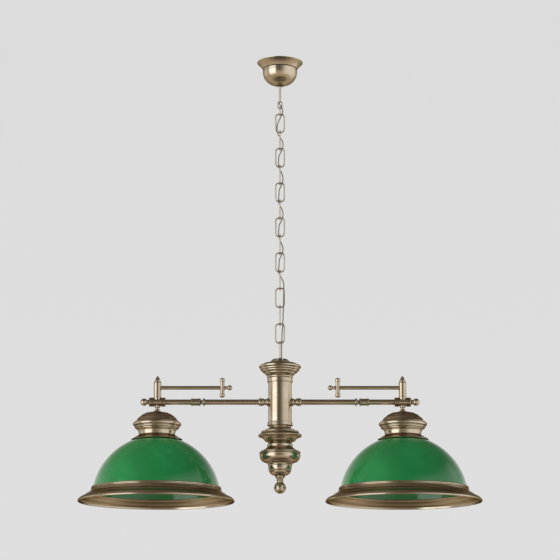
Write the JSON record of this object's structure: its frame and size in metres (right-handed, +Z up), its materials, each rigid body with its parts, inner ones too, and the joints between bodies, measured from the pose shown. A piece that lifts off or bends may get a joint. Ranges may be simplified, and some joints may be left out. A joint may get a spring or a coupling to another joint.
{
  "type": "pool table lamp",
  "caption": "Hanging billiard lamp: turned brass column on a chain, cross bar with lever rods, and domed green glass shades with flared brass skirts.",
  "frame": {"origin": "centre of the ceiling plane, between the bracket's two screws and level with the canopy's rim", "axes": "+Z up towards the ceiling; +X along the arms, to the right in the front view; +Y away from the viewer"},
  "size_m": [0.9034, 0.3504, 1.0249],
  "materials": {
    "antique_brass": "satin antique brass, lightly toned",
    "zinc_steel": "zinc plated",
    "terminal_plastic": "moulded, matt",
    "cable_jacket": "thin bronze-coloured braided lead",
    "green_glass": "cased green glass, glossy",
    "lampholder_plastic": "moulded, semi-matt",
    "opal_glass": "opal"
  },
  "bodies": {
    "ceiling_mount": {"ceiling_bracket": "zinc_steel", "hook_rod": "antique_brass", "hook_nuts": "zinc_steel", "terminal_block": "terminal_plastic", "supply_cable": "cable_jacket"},
    "canopy": {"canopy_shell": "antique_brass"},
    "ring": {"jump_ring": "antique_brass"},
    "link_01": {"chain_link_01": "antique_brass"},
    "link_02": {"chain_link_02": "antique_brass"},
    "link_03": {"chain_link_03": "antique_brass"},
    "link_04": {"chain_link_04": "antique_brass"},
    "link_05": {"chain_link_05": "antique_brass"},
    "link_06": {"chain_link_06": "antique_brass"},
    "link_07": {"chain_link_07": "antique_brass"},
    "link_08": {"chain_link_08": "antique_brass"},
    "link_09": {"chain_link_09": "antique_brass"},
    "link_10": {"chain_link_10": "antique_brass"},
    "link_11": {"chain_link_11": "antique_brass"},
    "link_12": {"chain_link_12": "antique_brass"},
    "link_13": {"chain_link_13": "antique_brass"},
    "link_14": {"chain_link_14": "antique_brass"},
    "column": {"hanging_loop": "antique_brass", "top_rosette": "antique_brass", "column_cap": "antique_brass", "column_tube": "antique_brass", "column_saucer": "antique_brass", "column_bowl": "antique_brass", "finial_cup": "antique_brass", "ball_finial": "antique_brass", "tie_rod": "zinc_steel", "centre_block": "zinc_steel", "arm_fittings": "antique_brass", "inner_arm_left": "antique_brass", "inner_arm_right": "antique_brass"},
    "left_coupling": {"coupling_left": "antique_brass"},
    "left_end": {"outer_arm_left": "antique_brass", "end_collar_left": "antique_brass", "end_ball_left": "antique_brass", "post_left": "antique_brass", "lever_rod_left": "antique_brass", "lever_toggle_left": "antique_brass", "hanger_spool_left": "antique_brass", "shade_cap_left": "antique_brass", "shade_glass_left": "green_glass", "shade_skirt_left": "antique_brass", "lampholder_left": "lampholder_plastic"},
    "left_bulb": {"bulb_left": "opal_glass"},
    "right_coupling": {"coupling_right": "antique_brass"},
    "right_end": {"outer_arm_right": "antique_brass", "end_collar_right": "antique_brass", "end_ball_right": "antique_brass", "post_right": "antique_brass", "lever_rod_right": "antique_brass", "lever_toggle_right": "antique_brass", "hanger_spool_right": "antique_brass", "shade_cap_right": "antique_brass", "shade_glass_right": "green_glass", "shade_skirt_right": "antique_brass", "lampholder_right": "lampholder_plastic"},
    "right_bulb": {"bulb_right": "opal_glass"}
  },
  "joints": [
    {"name": "canopy_slide", "type": "slide", "parent": "ceiling_mount", "child": "canopy", "axis": [0, 0, -1], "range_m": [0, 0.036]},
    {"name": "ring_swing", "type": "hinge", "parent": "ceiling_mount", "child": "ring", "pos_m": [0, 0, -0.111], "axis": [1, 0, 0], "range_deg": [-8, 8], "deforming": ["supply_cable"]},
    {"name": "link_01_swing", "type": "hinge", "parent": "ring", "child": "link_01", "pos_m": [0, 0, -0.1275], "axis": [0, 1, 0], "range_deg": [-8, 8]},
    {"name": "link_02_swing", "type": "hinge", "parent": "link_01", "child": "link_02", "pos_m": [0, 0, -0.1689], "axis": [1, 0, 0], "range_deg": [-8, 8]},
    {"name": "link_03_swing", "type": "hinge", "parent": "link_02", "child": "link_03", "pos_m": [0, 0, -0.2102], "axis": [0, 1, 0], "range_deg": [-8, 8]},
    {"name": "link_04_swing", "type": "hinge", "parent": "link_03", "child": "link_04", "pos_m": [0, 0, -0.2515], "axis": [1, 0, 0], "range_deg": [-8, 8]},
    {"name": "link_05_swing", "type": "hinge", "parent": "link_04", "child": "link_05", "pos_m": [0, 0, -0.2928], "axis": [0, 1, 0], "range_deg": [-8, 8]},
    {"name": "link_06_swing", "type": "hinge", "parent": "link_05", "child": "link_06", "pos_m": [0, 0, -0.3341], "axis": [1, 0, 0], "range_deg": [-8, 8]},
    {"name": "link_07_swing", "type": "hinge", "parent": "link_06", "child": "link_07", "pos_m": [0, 0, -0.3754], "axis": [0, 1, 0], "range_deg": [-8, 8]},
    {"name": "link_08_swing", "type": "hinge", "parent": "link_07", "child": "link_08", "pos_m": [0, 0, -0.4167], "axis": [1, 0, 0], "range_deg": [-8, 8]},
    {"name": "link_09_swing", "type": "hinge", "parent": "link_08", "child": "link_09", "pos_m": [0, 0, -0.458], "axis": [0, 1, 0], "range_deg": [-8, 8]},
    {"name": "link_10_swing", "type": "hinge", "parent": "link_09", "child": "link_10", "pos_m": [0, 0, -0.4993], "axis": [1, 0, 0], "range_deg": [-8, 8]},
    {"name": "link_11_swing", "type": "hinge", "parent": "link_10", "child": "link_11", "pos_m": [0, 0, -0.5406], "axis": [0, 1, 0], "range_deg": [-8, 8]},
    {"name": "link_12_swing", "type": "hinge", "parent": "link_11", "child": "link_12", "pos_m": [0, 0, -0.5819], "axis": [1, 0, 0], "range_deg": [-8, 8]},
    {"name": "link_13_swing", "type": "hinge", "parent": "link_12", "child": "link_13", "pos_m": [0, 0, -0.6232], "axis": [0, 1, 0], "range_deg": [-8, 8]},
    {"name": "link_14_swing", "type": "hinge", "parent": "link_13", "child": "link_14", "pos_m": [0, 0, -0.6645], "axis": [1, 0, 0], "range_deg": [-8, 8]},
    {"name": "column_swing", "type": "hinge", "parent": "link_14", "child": "column", "pos_m": [0, 0, -0.7058], "axis": [0, 1, 0], "range_deg": [-8, 8]},
    {"name": "left_coupling_turn", "type": "hinge", "parent": "column", "child": "left_coupling", "pos_m": [-0.1895, 0, -0.7995], "axis": [-1, 0, 0], "continuous": true},
    {"name": "left_end_turn", "type": "hinge", "parent": "column", "child": "left_end", "pos_m": [-0.1895, 0, -0.7995], "axis": [1, 0, 0], "range_deg": [-25, 25]},
    {"name": "left_bulb_unscrew", "type": "slide", "parent": "left_end", "child": "left_bulb", "axis": [0, 0, -1], "range_m": [0, 0.026]},
    {"name": "right_coupling_turn", "type": "hinge", "parent": "column", "child": "right_coupling", "pos_m": [0.1895, 0, -0.7995], "axis": [1, 0, 0], "continuous": true},
    {"name": "right_end_turn", "type": "hinge", "parent": "column", "child": "right_end", "pos_m": [0.1895, 0, -0.7995], "axis": [1, 0, 0], "range_deg": [-25, 25]},
    {"name": "right_bulb_unscrew", "type": "slide", "parent": "right_end", "child": "right_bulb", "axis": [0, 0, -1], "range_m": [0, 0.026]}
  ]
}
